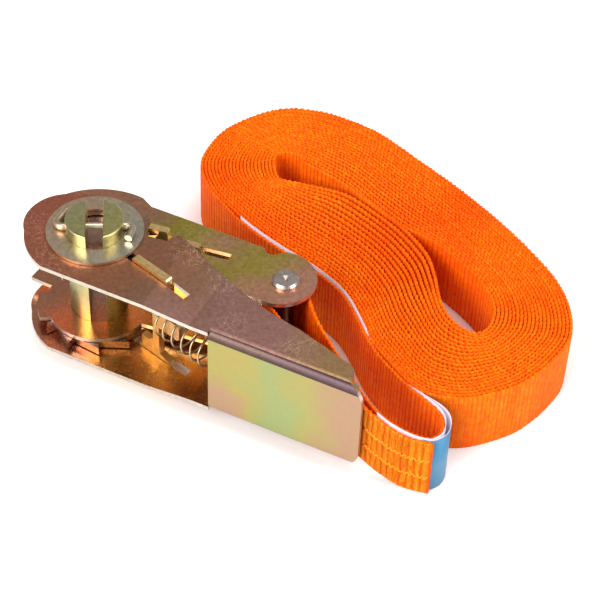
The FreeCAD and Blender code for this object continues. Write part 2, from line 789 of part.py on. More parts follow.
def make_strap_label():
    """Label on the face that is outside at the fold, where its pages stand off the strap."""
    inner = dim("web_thick") / 2 + 0.02
    near = []
    far = []
    for index in LABEL_SPAN:
        share = (index - FOLD_SPAN.start) / (len(FOLD_SPAN) - 1)
        rise = dim("label_stand_off") * math.sin(math.pi * share) if index in FOLD_SPAN else 0
        near.append(beside(index, -inner))
        far.append(beside(index, -inner - dim("label_thick") - rise))
    ring = near + far[::-1]
    face = Part.Face(Part.makePolygon(ring + ring[:1]))
    shape = face.extrude(Vector(0, 0, dim("web_width") - 1.0))
    place = Placement(AXIS + Vector(0, 0, 0.5), Rotation())
    parts.append(shape_feature("strap_label", shape, place))


def make_strap_stitching():
    """Rows of thread that hold the tail to the strap behind it, proud of the tail's face."""
    rows = []
    start = Vector(*STRAP_ROUTE[1][:2], 0)
    end = Vector(*STRAP_ROUTE[0][:2], 0)
    along = (end - start).normalize()
    across = Vector(along.y, -along.x, 0)
    thread = dim("stitch")
    turn = math.degrees(math.atan2(along.y, along.x))
    for row in range(3):
        place = start + along * (1.2 + 2.2 * row) + across * (dim("web_thick") / 2 + 0.02)
        for stitch in range(7):
            bar = Part.makeBox(thread, 0.35, 2.2, Vector(0, -0.35, 0))
            bar.rotate(Vector(), Vector(0, 0, 1), turn)
            bar.translate(place + Vector(0, 0, 1.6 + 3.2 * stitch))
            rows.append(bar)
    parts.append(shape_feature("strap_stitching", Part.makeCompound(rows), Placement(AXIS, Rotation())))


# Outer line of the coil away from the returning strap, clockwise from its left end.
COIL_OUTLINE = [
    (42.4, 37.4), (36.6, 43.8), (32.2, 50.4), (30.5, 58.4), (31.7, 67.4), (38.0, 79.6),
    (50.6, 89.4), (61.8, 93.3), (73.0, 92.3), (82.8, 88.8), (95.5, 81.1), (109.7, 67.2),
    (123.5, 53.2), (136.8, 37.8), (148.6, 21.1), (156.7, 6.6), (159.9, -6.4), (159.2, -18.8),
    (154.1, -28.3), (147.0, -36.8), (138.9, -43.2), (124.2, -48.2), (113.2, -47.2),
    (108.6, -44.2),
]
COIL_LEFT_EYE = [
    (57.8, 66.0), (57.9, 60.3), (59.0, 55.8), (61.6, 53.9), (66.0, 52.2), (72.0, 51.2),
    (78.0, 50.4), (82.6, 48.8), (83.4, 50.4), (79.6, 53.6), (74.5, 57.4), (70.2, 60.5),
    (66.6, 63.4), (64.0, 67.2), (60.6, 67.8),
]
COIL_RIGHT_EYE = [
    (108.9, 21.3), (112.2, 13.5), (114.2, 5.0), (115.9, -5.5), (119.0, -11.8),
    (122.9, -16.2), (126.2, -17.9), (129.8, -16.7), (132.3, -12.9), (133.5, -8.2),
    (133.0, -3.5), (130.9, 2.5), (127.1, 9.5), (118.2, 19.8), (113.4, 24.5),
]


def closed_face(points):
    """Flat face inside a closed plan outline."""
    ring = [Vector(point[0], point[1], 0) for point in points]
    return Part.Face(Part.makePolygon(ring + ring[:1]))


def make_strap_coil():
    """Wound webbing as one solid of its outer shape, open at both eyes."""
    height = Vector(0, 0, dim("web_width"))
    reach = dim("web_thick") / 2 + dim("label_thick") + dim("coil_gap")
    strap_side = [beside(index, -reach) for index in COIL_SIDE]
    shape = closed_face(COIL_OUTLINE + strap_side).extrude(height)
    for eye in (COIL_LEFT_EYE, COIL_RIGHT_EYE):
        shape = shape.cut(closed_face(eye).extrude(height))
    parts.append(shape_feature("strap_coil", shape, Placement(AXIS, Rotation())))


# ---------------------------------------------------------------- assembly
make_half_moon("half_moon_left", -1)
make_half_moon("half_moon_right", 1)
for name, side in (("upper", 1), ("lower", -1)):
    make_wheel(f"wheel_{name}", side)
    make_washer(f"washer_{name}", side)
    make_split_pin(f"split_pin_{name}", side)
make_frame_channel()
make_anchor_rivet()
make_drive_pawl()
make_lock_pawl()
make_spring("drive_spring", "drive_coil_radius", dim("drive_rear") - 4.4, 53.8, 7, dim("drive_turn"), 0.0)
make_spring("lock_spring", "lock_coil_radius", dim("lock_rear") + 0.1, 48.6, 6, dim("lock_turn"),
            dim("lock_offset"))
make_handle_channel()
make_strap_run()
make_strap_label()
make_strap_stitching()
make_strap_coil()
doc.recompute()

for thing in doc.Objects:
    for word in ("Invalid", "Error"):
        if word in thing.State:
            raise RuntimeError(f"{thing.Label} is {word}")
for part in parts:
    shape = part.Shape
    if shape.isNull() or not shape.isValid():
        raise RuntimeError(f"{part.Label} has no valid shape")
    print(f"{part.Label}: {len(shape.Solids)} solids, {shape.Volume:.1f} mm3, {shape.BoundBox}")
    shape.exportStep(f"parts/{part.Label}.step")
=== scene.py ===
"""Looks of the ratchet tie down: strap, label, stitching, springs, materials, stage."""
import math

import bpy
from mathutils import Matrix, Vector, noise


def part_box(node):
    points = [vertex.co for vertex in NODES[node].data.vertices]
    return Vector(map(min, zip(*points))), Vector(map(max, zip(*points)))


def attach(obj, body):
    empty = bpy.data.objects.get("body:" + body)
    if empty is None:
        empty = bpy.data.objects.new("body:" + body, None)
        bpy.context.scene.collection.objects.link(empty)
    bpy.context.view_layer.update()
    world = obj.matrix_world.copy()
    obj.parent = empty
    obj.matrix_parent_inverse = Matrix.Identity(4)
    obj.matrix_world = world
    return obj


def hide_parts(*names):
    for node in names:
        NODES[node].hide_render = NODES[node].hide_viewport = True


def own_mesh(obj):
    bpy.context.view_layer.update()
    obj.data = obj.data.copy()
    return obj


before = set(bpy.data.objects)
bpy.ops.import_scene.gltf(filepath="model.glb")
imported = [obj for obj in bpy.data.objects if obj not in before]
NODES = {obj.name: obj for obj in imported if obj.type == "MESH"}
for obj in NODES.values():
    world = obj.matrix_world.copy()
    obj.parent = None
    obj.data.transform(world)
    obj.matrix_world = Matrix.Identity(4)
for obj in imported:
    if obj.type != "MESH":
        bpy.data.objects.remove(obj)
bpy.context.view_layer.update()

MM = 0.001


def middle(node):
    """Centre of a CAD node's box."""
    low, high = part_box(node)
    return (low + high) / 2


WASHER = middle("washer_upper")
AXIS = Vector((WASHER.x, WASHER.y, 0))
MID_Z = (middle("washer_upper").z + middle("washer_lower").z) / 2
BUCKLE_TURN = math.radians(-24.5)


# ---------------------------------------------------------------- camera
# As solved from the photo: metres, and a 36 mm sensor.
TILT = math.radians(45.4)
ROLL = math.radians(2.33)
DISTANCE = 0.66596
AIM_FROM_AXIS = Vector((0.036865, -0.001041, 0))
AIM_RIGHT = 0.031948
AIM_UP = 0.011711
LENS = 115.564


def make_camera():
    """Camera above the front, 45 degrees down, a little rolled, 0.67 m away."""
    forward = Vector((0, math.cos(TILT), -math.sin(TILT)))
    right = Vector((1, 0, 0))
    up = right.cross(forward)
    rolled_right = right * math.cos(ROLL) + up * math.sin(ROLL)
    rolled_up = up * math.cos(ROLL) - right * math.sin(ROLL)
    target = AXIS + AIM_FROM_AXIS + rolled_right * AIM_RIGHT + rolled_up * AIM_UP
    place = target - forward * DISTANCE
    data = bpy.data.cameras.new("camera")
    data.lens = LENS
    data.sensor_width = 36
    data.clip_start = 0.01
    camera = bpy.data.objects.new("camera", data)
    turn = Matrix((rolled_right, rolled_up, -forward)).transposed()
    camera.matrix_world = Matrix.Translation(place) @ turn.to_4x4()
    bpy.context.scene.collection.objects.link(camera)
    bpy.context.scene.camera = camera


# ---------------------------------------------------------------- curves in plan
SPAN_STEPS = 24


def spline(points, closed=False):
    """Smooth line through points by Catmull-Rom spans."""
    count = len(points)
    spans = count if closed else count - 1
    line = []
    for index in range(spans):
        if closed:
            a, b, c, d = (points[(index + k) % count] for k in (-1, 0, 1, 2))
        else:
            a, b, c, d = (points[min(max(index + k, 0), count - 1)] for k in (-1, 0, 1, 2))
        for step in range(SPAN_STEPS):
            t = step / SPAN_STEPS
            line.append(
                0.5 * (2 * b + (c - a) * t + (2 * a - 5 * b + 4 * c - d) * t ** 2
                       + (3 * b - a - 3 * c + d) * t ** 3)
            )
    line.append(points[0].copy() if closed else points[-1].copy())
    return line


def evenly(line, step):
    """Points at even steps along a line."""
    result = [line[0].copy()]
    left = step
    for a, b in zip(line, line[1:]):
        span = (b - a).length
        walked = 0.0
        while span - walked >= left:
            walked += left
            result.append(a.lerp(b, walked / span))
            left = step
        left -= span - walked
    return result


def length_of(line):
    """Length of a line of points."""
    return sum((b - a).length for a, b in zip(line, line[1:]))


# ---------------------------------------------------------------- the strap's line
# Webbing in millimetres: thickness, width and rib pitch, with so many steps to each rib.
THICK = 1.25
WIDTH = 25.0
RIB = 1.7
STEPS = 5
STEP = RIB / STEPS
# Plan route from the mandrel's axis, millimetres, with the height of the lower edge:
# sewn tail, out along the grip, round the rivet, back beside itself, fold, return.
STRAP_ROUTE = [
    (112.0, -67.6, 0.0), (103.2, -65.5, 0.6), (95.6, -63.0, 4.2), (88.0, -59.6, 9.4),
    (79.5, -51.6, 10.6), (69.6, -38.8, 12.0), (60.6, -26.4, 13.2), (57.2, -19.6, 13.3),
    (56.4, -14.6, 13.3), (57.6, -10.6, 13.3), (60.6, -8.2, 13.3), (64.4, -7.8, 13.3),
    (68.2, -9.6, 13.3), (70.3, -13.4, 13.3), (71.2, -19.0, 13.3), (74.2, -28.6, 13.0),
    (79.8, -40.0, 12.0), (85.4, -50.0, 10.8), (90.2, -57.6, 9.0), (96.6, -61.3, 4.2),
    (104.0, -63.5, 0.6), (110.0, -65.2, 0.0), (112.6, -64.4, 0.0), (114.4, -62.3, 0.0),
    (115.1, -59.2, 0.0), (114.8, -56.0, 0.0), (113.2, -53.0, 0.0), (110.0, -49.4, 0.0),
    (104.3, -43.4, 0.0), (99.4, -37.2, 0.0), (95.2, -31.1, 0.0), (91.9, -25.2, 0.0),
    (89.3, -18.9, 0.0), (87.0, -12.6, 0.0), (84.2, -6.2, 0.0), (80.2, -0.1, 0.0),
    (71.4, 8.9, 0.0), (60.6, 17.4, 0.0), (50.4, 26.6, 0.0), (44.0, 33.6, 0.0),
]
# The coil's outermost line and, beside each point, the innermost line it closes in on.
COIL_PAIRS = [
    ((38.4, 41.6), (60.6, 53.2)), ((33.6, 49.6), (58.2, 55.2)), ((31.2, 58.4), (57.0, 59.6)),
    ((32.4, 67.0), (56.6, 64.0)), ((38.8, 79.2), (57.6, 67.4)), ((51.0, 88.8), (60.0, 68.6)),
    ((61.8, 92.6), (63.6, 68.4)), ((72.8, 91.6), (67.4, 66.0)), ((82.4, 88.2), (73.8, 61.4)),
    ((95.0, 80.6), (83.8, 53.8)), ((109.2, 66.8), (93.2, 43.1)), ((123.0, 52.8), (103.6, 32.6)),
    ((136.2, 37.4), (114.2, 25.2)), ((148.0, 20.8), (124.6, 14.0)), ((156.0, 6.4), (131.2, 4.2)),
    ((159.2, -6.4), (134.1, -4.6)), ((158.6, -18.6), (133.6, -11.8)),
    ((153.6, -27.8), (131.4, -16.8)), ((146.6, -36.2), (128.8, -19.0)),
    ((138.6, -42.6), (126.0, -19.4)), ((124.0, -48.4), (121.2, -16.8)),
    ((112.0, -47.6), (117.2, -12.0)), ((104.8, -43.0), (115.0, -6.8)),
    ((98.3, -34.5), (113.6, 0.0)), ((92.0, -24.7), (112.4, 7.0)), ((87.2, -11.5), (109.6, 17.0)),
    ((80.7, 0.3), (102.2, 28.6)), ((71.9, 9.5), (93.1, 38.3)), ((60.8, 18.2), (83.4, 46.6)),
    ((50.4, 27.6), (72.4, 50.2)),
]
# The strap's inner end: it leaves the last turn and lies against the far turns.
COIL_END = [(103.5, 30.1), (93.8, 40.5), (84.9, 50.0), (79.7, 54.5), (74.6, 58.3), (70.2, 61.5),
            (66.9, 63.8)]
# Whole turns, the pair at which the last one stops, and the points its end replaces.
TURNS = 20
LAST_PAIR = 25
END_TRIM = 25


def flat_points(points):
    """Plan points as vectors on the floor."""
    return [Vector((x, y, 0)) for x, y in points]


def coil_line():
    """Every turn of the coil, outermost first: tight at its outside, slacker towards the eyes."""
    outer = spline(flat_points(pair[0] for pair in COIL_PAIRS), closed=True)[:-1]
    inner = spline(flat_points(pair[1] for pair in COIL_PAIRS), closed=True)[:-1]
    per_turn = len(outer)
    count = round((TURNS + LAST_PAIR / len(COIL_PAIRS)) * per_turn)
    line = []
    for index in range(count):
        a = outer[index % per_turn]
        b = inner[index % per_turn]
        share = index / (TURNS * per_turn)
        slack = max(0.0, 1 - THICK * TURNS / (b - a).length)
        line.append(a.lerp(b, share * (1 - slack) + share * share * slack))
    end = spline([line[-END_TRIM], line[-1]] + flat_points(COIL_END))
    return line[:-END_TRIM] + end


def strap_line():
    """The whole strap as one line in metres, evenly stepped, and how far its route runs."""
    route = spline([Vector(point) for point in STRAP_ROUTE])
    run = length_of(route)
    points = evenly(route + coil_line(), STEP)
    return [AXIS + point * MM for point in points], run


def plan_sides(line):
    """Unit vector to the left of the line at each point, in plan."""
    sides = []
    for index in range(len(line)):
        before = line[max(index - 1, 0)]
        after = line[min(index + 1, len(line) - 1)]
        along = after - before
        sides.append(Vector((-along.y, along.x, 0)).normalized())
    return sides


def sweep(mesh, line, section_at, place_at):
    """Adds a closed ribbon along a line to a mesh's points, faces and texture places.

    section_at(step) gives each corner's offset and height in metres, and
    place_at(step, corner) how far along the texture runs there.
    """
    verts, faces, texture = mesh
    start = len(verts)
    count = len(section_at(0))
    for index, (point, side) in enumerate(zip(line, plan_sides(line))):
        for corner, (offset, height) in enumerate(section_at(index)):
            verts.append(point + side * offset + Vector((0, 0, height)))
            texture.append((place_at(index, corner), height))
    for index in range(len(line) - 1):
        for k in range(count):
            a = start + index * count + k
            b = start + index * count + (k + 1) % count
            faces.append((a, b, b + count, a + count))
    faces.append(tuple(range(start, start + count))[::-1])
    faces.append(tuple(range(len(verts) - count, len(verts))))


def finish_mesh(name, verts, faces, texture=None):
    """Smooth-shaded object of a mesh, with a texture place for each vertex."""
    mesh = bpy.data.meshes.new(name)
    mesh.from_pydata(verts, [], faces)
    if texture:
        uv = mesh.uv_layers.new(name="along")
        for loop in mesh.loops:
            uv.data[loop.index].uv = texture[loop.vertex_index]
    for polygon in mesh.polygons:
        polygon.use_smooth = True
    obj = bpy.data.objects.new(name, mesh)
    bpy.context.scene.collection.objects.link(obj)
    return obj


TUBE_SIDES = 8


def tubes(name, lines, radius):
    """One mesh of round wires or threads, each along its own line of points in metres."""
    verts, faces = [], []
    for line in lines:
        start = len(verts)
        for index, point in enumerate(line):
            along = line[min(index + 1, len(line) - 1)] - line[max(index - 1, 0)]
            across = along.cross(Vector((0.31, 0.17, 0.93))).normalized()
            other = across.cross(along).normalized()
            for k in range(TUBE_SIDES):
                turn = 2 * math.pi * k / TUBE_SIDES
                verts.append(point + (across * math.cos(turn) + other * math.sin(turn)) * radius)
        for index in range(len(line) - 1):
            for k in range(TUBE_SIDES):
                a = start + index * TUBE_SIDES + k
                b = start + index * TUBE_SIDES + (k + 1) % TUBE_SIDES
                faces.append((a, a + TUBE_SIDES, b + TUBE_SIDES, b))
        faces.append(tuple(range(start, start + TUBE_SIDES)))
        faces.append(tuple(range(len(verts) - TUBE_SIDES, len(verts)))[::-1])
    return finish_mesh(name, verts, faces)


def wander(index, amount, rate, row):
    """Smooth noise along the strap's steps, its own for each row."""
    return amount * noise.noise(Vector((index * rate, row, 0)))


def rib_phase(index):
    """Ribs passed at a step. The pitch wanders, so the ribs of turns don't line up."""
    drift = wander(index, amount=2.4, rate=0.009, row=8.1)
    jitter = wander(index, amount=0.55, rate=0.07, row=5.3)
    return index / STEPS + drift + jitter


def rib_rise(phase):
    """How far a rib stands out, from 0 in the furrow to 1 on the crest."""
    return 0.5 - 0.5 * math.cos(2 * math.pi * phase)


# Relief of the webbing in millimetres: ribs on its faces and on its upper edge, how far
# that edge lies below the full width, its gap above the floor, and its rounded rims.
FACE_RELIEF = 0.2
EDGE_RELIEF = 0.38
EDGE_DROP = 0.7
FOOT = 0.02
RIM = 0.5
# Share of the half thickness at each level of one side, from the lower edge up.
SIDE_SHARES = (0.40, 0.85, 1.0, 1.0, 0.85, 0.40)


def webbing_section(index):
    """Cross-section of the webbing: ribs on its two faces stand half a pitch apart."""
    phase = rib_phase(index)
    slow = wander(index, amount=0.5, rate=0.003, row=3.7)
    knob = wander(index, amount=0.28, rate=0.31, row=1.3)
    low = FOOT * MM
    rim = RIM * MM
    sides = []
    for sign, shift in ((1, 0.0), (-1, 0.5)):
        rise = rib_rise(phase + shift)
        half = (THICK / 2 - FACE_RELIEF + FACE_RELIEF * rise) * MM * sign
        high = (WIDTH - EDGE_DROP + slow + knob + EDGE_RELIEF * rise) * MM
        levels = (low, low + rim * 0.4, low + rim * 1.6, high - rim * 1.6, high - rim * 0.4, high)
        sides.append([(half * share, level) for share, level in zip(SIDE_SHARES, levels)])
    return sides[0] + sides[1][::-1]


# ---------------------------------------------------------------- materials
class Nodes:
    """Short way to build a material's node tree."""

    def __init__(self, name):
        self.material = bpy.data.materials.new(name)
        self.material.use_nodes = True
        self.tree = self.material.node_tree
        self.shader = next(n for n in self.tree.nodes if n.type == "BSDF_PRINCIPLED")

    def add(self, kind, **values):
        """New node; each value goes to its socket of that name, or else to its property."""
        node = self.tree.nodes.new(kind)
        for key, value in values.items():
            if key in node.inputs:
                node.inputs[key].default_value = value
            else:
                setattr(node, key, value)
        return node

    def link(self, out, into):
        """Joins an output to an input."""
        self.tree.links.new(out, into)

    def ramp(self, source, stops):
        """Colour ramp through (place, colour) stops."""
        node = self.add("ShaderNodeValToRGB")
        ramp = node.color_ramp
        while len(ramp.elements) < len(stops):
            ramp.elements.new(0.5)
        for element, (place, colour) in zip(ramp.elements, stops):
            element.position = place
            element.color = (*colour, 1)
        self.link(source, node.inputs["Fac"])
        return node.outputs["Color"]

    def place(self, scale=(1, 1, 1), turn=0.0, kind="Object"):
        """Texture coordinates, scaled, then turned about z."""
        coords = self.add("ShaderNodeTexCoord")
        mapping = self.add("ShaderNodeMapping")
        mapping.inputs["Scale"].default_value = scale
        mapping.inputs["Rotation"].default_value = (0, 0, turn)
        self.link(coords.outputs[kind], mapping.inputs["Vector"])
        return mapping.outputs["Vector"]

    def noise(self, vector, scale, detail, roughness):
        """Fractal noise, 0 to 1."""
        node = self.add("ShaderNodeTexNoise", Scale=scale, Detail=detail, Roughness=roughness)
        self.link(vector, node.inputs["Vector"])
        return node.outputs["Fac"]

    def mix(self, factor, a, b, blend="MIX"):
        """Blend of two colours; each source is a socket, a number or a colour."""
        node = self.add("ShaderNodeMix", data_type="RGBA", blend_type=blend)
        for source, socket in ((factor, node.inputs[0]), (a, node.inputs[6]), (b, node.inputs[7])):
            if isinstance(source, bpy.types.NodeSocket):
                self.link(source, socket)
            elif isinstance(source, (float, int)):
                socket.default_value = source
            else:
                socket.default_value = (*source, 1)
        return node.outputs[2]

    def bump(self, height, distance, strength):
        """Fine relief on the shader's surface; distance in metres."""
        node = self.add("ShaderNodeBump", Distance=distance, Strength=strength)
        self.link(height, node.inputs["Height"])
        self.link(node.outputs["Normal"], self.shader.inputs["Normal"])

    def spread(self, source, low, high, start=0.0, end=1.0, clamp=True):
        """Maps start..end of a value to low..high."""
        node = self.add("ShaderNodeMapRange", clamp=clamp)
        node.inputs["From Min"].default_value = start
        node.inputs["From Max"].default_value = end
        node.inputs["To Min"].default_value = low
        node.inputs["To Max"].default_value = high
        self.link(source, node.inputs["Value"])
        return node.outputs["Result"]

    def arithmetic(self, a, b, operation):
        """Arithmetic on two values, such as ADD or MULTIPLY."""
        node = self.add("ShaderNodeMath", operation=operation)
        self.link(a, node.inputs[0])
        self.link(b, node.inputs[1])
        return node.outputs[0]


# Colour stops run along the buckle from so far before the axis, over this span.
HEAD_REACH = 27 * MM
BUCKLE_SPAN = 135 * MM


def along_buckle(m):
    """Place along the buckle, 0 at its round head and 1 past the grip's end, a bit blurred."""
    parts = m.add("ShaderNodeSeparateXYZ")
    m.link(m.place(turn=-BUCKLE_TURN), parts.inputs[0])
    head = AXIS.x * math.cos(BUCKLE_TURN) + AXIS.y * math.sin(BUCKLE_TURN) - HEAD_REACH
    share = m.spread(parts.outputs["X"], 0.0, 1.0, start=head, end=head + BUCKLE_SPAN, clamp=False)
    blur = m.spread(m.noise(m.place(), 32.0, 2.0, 0.5), -0.30, 0.30)
    return m.arithmetic(share, blur, "ADD")


def plated_steel(name, stops, rough=(0.24, 0.42), grain=0.7, curls=0.5):
    """Passivated zinc: colour drifts along the buckle, fine grain, pale curls where rubbed."""
    m = Nodes(name)
    place = m.place()
    colour = m.ramp(along_buckle(m), stops)
    fine = m.noise(place, 700.0, 4.0, 0.7)
    shade = m.ramp(fine, [(0.35, (0.78, 0.74, 0.72)), (0.62, (1.06, 1.06, 1.06))])
    toned = m.mix(grain, colour, shade, "MULTIPLY")
    thin = m.ramp(m.noise(place, 420.0, 3.0, 0.55), [
        (0.0, (0, 0, 0)), (0.478, (0, 0, 0)), (0.50, (0.34, 0.30, 0.22)), (0.522, (0, 0, 0)),
    ])
    rubbed = m.ramp(m.noise(place, 55.0, 2.0, 0.5), [(0.46, (0, 0, 0)), (0.62, (1, 1, 1))])
    pale = m.mix(1.0, thin, rubbed, "MULTIPLY")
    m.link(m.mix(curls, toned, pale, "ADD"), m.shader.inputs["Base Color"])
    m.link(m.spread(fine, *rough), m.shader.inputs["Roughness"])
    m.shader.inputs["Metallic"].default_value = 1.0
    m.bump(m.noise(place, 260.0, 3.0, 0.6), 0.00004, 0.35 * grain)
    return m.material


def wave(m, source, pitch):
    """Sine of a coordinate, one period to each pitch."""
    turn = m.add("ShaderNodeMath", operation="MULTIPLY")
    m.link(source, turn.inputs[0])
    turn.inputs[1].default_value = 2 * math.pi / pitch
    sine = m.add("ShaderNodeMath", operation="SINE")
    m.link(turn.outputs[0], sine.inputs[0])
    return sine.outputs[0]


def webbing_material():
    """Orange polyester: woven rows, and painted shade that darkens and reddens the furrows between
    the paler rib crests.
    """
    m = Nodes("orange_webbing")
    parts = m.add("ShaderNodeSeparateXYZ")
    m.link(m.place(kind="UV"), parts.inputs[0])
    ribs = wave(m, parts.outputs["X"], 1.0)
    rows = wave(m, parts.outputs["Y"], 0.62 * MM)
    weave = m.arithmetic(ribs, rows, "MULTIPLY")
    patches = m.noise(m.place(), 500.0, 3.0, 0.7)
    base = m.ramp(patches, [(0.30, (0.90, 0.12, 0.0008)), (0.50, (0.94, 0.17, 0.0015)),
                            (0.70, (0.97, 0.24, 0.005))])
    faded = m.ramp(m.noise(m.place(), 24.0, 2.0, 0.5), [
        (0.38, (0.98, 0.70, 0.5)), (0.58, (1, 1, 1)),
    ])
    # Painted shade: the furrows between the ribs are darkened and reddened.
    furrow = m.spread(ribs, 0.0, 1.0, start=1.0, end=-1.0)
    shade = m.ramp(furrow, [(0.0, (0.80, 0.50, 0.34)), (0.36, (1, 1, 1))])
    fibre = m.noise(m.place(), 2200.0, 2.0, 0.6)
    fleck = m.ramp(fibre, [(0.35, (0.80, 0.72, 0.62)), (0.60, (1, 1, 1))])
    streaks = m.ramp(m.noise(m.place(kind="UV", scale=(0.45, 20, 1)), 1.0, 2.0, 0.6), [
        (0.40, (0.95, 0.84, 0.7)), (0.60, (1, 1, 1)),
    ])
    streaked = m.mix(1.0, faded, streaks, "MULTIPLY")
    toned = m.mix(1.0, m.mix(1.0, base, streaked, "MULTIPLY"), shade, "MULTIPLY")
    m.link(m.mix(0.8, toned, fleck, "MULTIPLY"), m.shader.inputs["Base Color"])
    m.shader.inputs["Roughness"].default_value = 0.65
    m.shader.inputs["Specular IOR Level"].default_value = 0.08
    m.bump(weave, 0.00008, 0.7)
    return m.material


def label_material():
    """Woven label: pale lavender with fine threads, and blue on its outer page's far side."""
    m = Nodes("label_cloth")
    parts = m.add("ShaderNodeSeparateXYZ")
    m.link(m.place(kind="UV"), parts.inputs[0])
    pale = (0.66, 0.58, 0.66)
    blue = (0.035, 0.20, 0.36)
    band = m.ramp(parts.outputs["X"], [(0.0, pale), (BLUE_BAND[0], blue), (BLUE_BAND[1], pale)])
    band.node.color_ramp.interpolation = "CONSTANT"
    threads = m.noise(m.place(scale=(1, 1, 3)), 1500.0, 2.0, 0.5)
    tone = m.ramp(threads, [(0.3, (0.82, 0.82, 0.86)), (0.7, (1, 1, 1))])
    m.link(m.mix(1.0, band, tone, "MULTIPLY"), m.shader.inputs["Base Color"])
    m.shader.inputs["Roughness"].default_value = 0.5
    m.bump(threads, 0.00005, 0.5)
    return m.material


def thread_material():
    """Bright orange sewing thread, finely twisted."""
    m = Nodes("thread")
    twist = m.noise(m.place(scale=(1, 1, 0.4)), 2600.0, 2.0, 0.5)
    m.link(m.ramp(twist, [(0.3, (0.96, 0.20, 0.002)), (0.7, (1.0, 0.38, 0.024))]),
           m.shader.inputs["Base Color"])
    m.shader.inputs["Roughness"].default_value = 0.55
    m.shader.inputs["Specular IOR Level"].default_value = 0.12
    m.bump(twist, 0.00005, 0.6)
    return m.material


# ---------------------------------------------------------------- pieces
def paint(obj, *materials):
    """Gives an object these materials and no others."""
    obj.data.materials.clear()
    for material in materials:
        obj.data.materials.append(material)


def add_piece(obj, material, body, slot, *nodes):
    """Finishes a piece: its material, the body it rides on and the nodes it replaces; its slot is
    not used.
    """
    paint(obj, material)
    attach(obj, body)
    if nodes:
        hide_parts(*nodes)


def make_strap(material):
    """The whole strap as one ribbon; also returns its line and how far its route runs."""
    line, run = strap_line()

    def texture_at(index, corner):
        """Ribs passed there; the right side starts one rib further on."""
        on_right = corner >= len(SIDE_SHARES)
        return rib_phase(index) + (1.0 if on_right else 0.0)

    mesh = ([], [], [])
    sweep(mesh, line, webbing_section, texture_at)
    obj = finish_mesh("strap", *mesh)
    add_piece(obj, material, "frame", "orange_webbing", "strap_run", "strap_coil")
    return obj, line, run


# Where the label, its outer page and its dip run, in millimetres before the route's end.
LABEL_START = 146.0
LABEL_END = 2.5
FOLD_START = 129.0
FOLD_END = 106.0
DIP_START = 105.0
DIP_END = 72.0
# The label's pages in millimetres: lower edge, gap to the strap, dip, gap between the
# pages and how much more they part in the middle, and each page's thickness.
LABEL_FOOT = 0.5
LABEL_GAP = 0.03
DIP_DEPTH = 2.2
PAGE_GAP = 0.32
PAGE_SPREAD = 1.45
LEAF_THICK = 0.28
PAGE_THICK = 0.25
# Texture places: plain cloth, blue cloth, and the band of places that is blue.
PLAIN = 0.1
BLUE = 0.7
BLUE_BAND = (0.65, 0.9)


def make_label(line, run, material):
    """Label on the strap's right side, with a second page that stands off at the fold."""
    first, last, fold_first, fold_last = (
        round((run - place) / STEP) for place in (LABEL_START, LABEL_END, FOLD_START, FOLD_END)
    )
    near = -(THICK / 2 + LABEL_GAP) * MM
    low = LABEL_FOOT * MM

    def leaf(index):
        """Inner page: its upper edge dips after the fold, and stands up at its end."""
        left = run - (index + first) * STEP
        share = (DIP_START - left) / (DIP_START - DIP_END)
        dip = DIP_DEPTH * math.sin(math.pi * share) if 0 < share < 1 else 0.0
        stand = 0.4 if left < DIP_END else -0.1
        high = (WIDTH + stand - dip) * MM
        far = near - LEAF_THICK * MM
        return [(near, low), (near, high), (far, high), (far, low)]

    def page(index):
        """Outer page, which stands off in the middle of the fold."""
        share = index / (fold_last - fold_first)
        stand = (PAGE_GAP + PAGE_SPREAD * math.sin(math.pi * share) ** 1.3) * MM
        high = (WIDTH - 0.3) * MM
        far = near - stand - PAGE_THICK * MM
        return [(near - stand, low), (near - stand, high), (far, high), (far, low)]

    mesh = ([], [], [])
    sweep(mesh, line[first:last], leaf, lambda index, corner: PLAIN)
    sweep(mesh, line[fold_first:fold_last], page,
          lambda index, corner: BLUE if corner in (2, 3) else PLAIN)
    obj = finish_mesh("label", *mesh)
    add_piece(obj, material, "frame", "label_cloth", "strap_label")
    return obj


# Sewing in millimetres: thread radius, zigzag columns from the strap's end back, and rows.
THREAD = 0.24
SEWN_COLUMNS = 11
COLUMN_START = 1.7
COLUMN_PITCH = 2.3
COLUMN_FOOT = 0.6
COLUMN_HEIGHT = 23.6
COLUMN_KNOTS = 116
ROW_START = 0.6
ROW_LENGTH = 24.0
ROW_KNOTS = 60
ROW_HEIGHTS = (8.2, 16.0)


def make_sewing(line, material):
    """Dense zigzag columns that hold the strap's end, and two rows across them."""
    sides = plan_sides(line[:120])

    def on_face(back, height, lift):
        """Point on the strap's outer face, so many millimetres back from its end."""
        index = int(back / STEP)
        point = line[index].lerp(line[index + 1], back / STEP - index)
        return point + sides[index] * (THICK / 2 - 0.12 + lift) * MM + Vector((0, 0, height * MM))

    def column(number):
        """One column, which bulges between the cross rows."""
        points = []
        for knot in range(COLUMN_KNOTS):
            height = COLUMN_FOOT + COLUMN_HEIGHT * knot / (COLUMN_KNOTS - 1)
            bulge = abs(math.sin(math.pi * (height - 0.3) / 7.9))
            bow = 0.4 * noise.noise(Vector((number * 1.7, height * 0.2, 0)))
            swing = (0.55 + 0.28 * bulge) * (1 if knot % 2 else -1) + bow
            back = COLUMN_START + COLUMN_PITCH * number + swing
            points.append(on_face(back, height, 0.28 * bulge))
        return points

    def row(height):
        """One wavy row across the columns."""
        return [
            on_face(ROW_START + ROW_LENGTH * knot / (ROW_KNOTS - 1),
                    height + (0.5 if knot % 4 < 2 else -0.5), 0.3)
            for knot in range(ROW_KNOTS)
        ]

    lines = [column(number) for number in range(SEWN_COLUMNS)]
    lines += [row(height) for height in ROW_HEIGHTS]
    obj = tubes("sewing", lines, THREAD * MM)
    add_piece(obj, material, "frame", "thread", "strap_stitching")


# Springs: wire radius in millimetres, points to a turn, and how much the end turns close up.
WIRE = 0.38
TURN_STEPS = 24
CLOSE_UP = 0.022


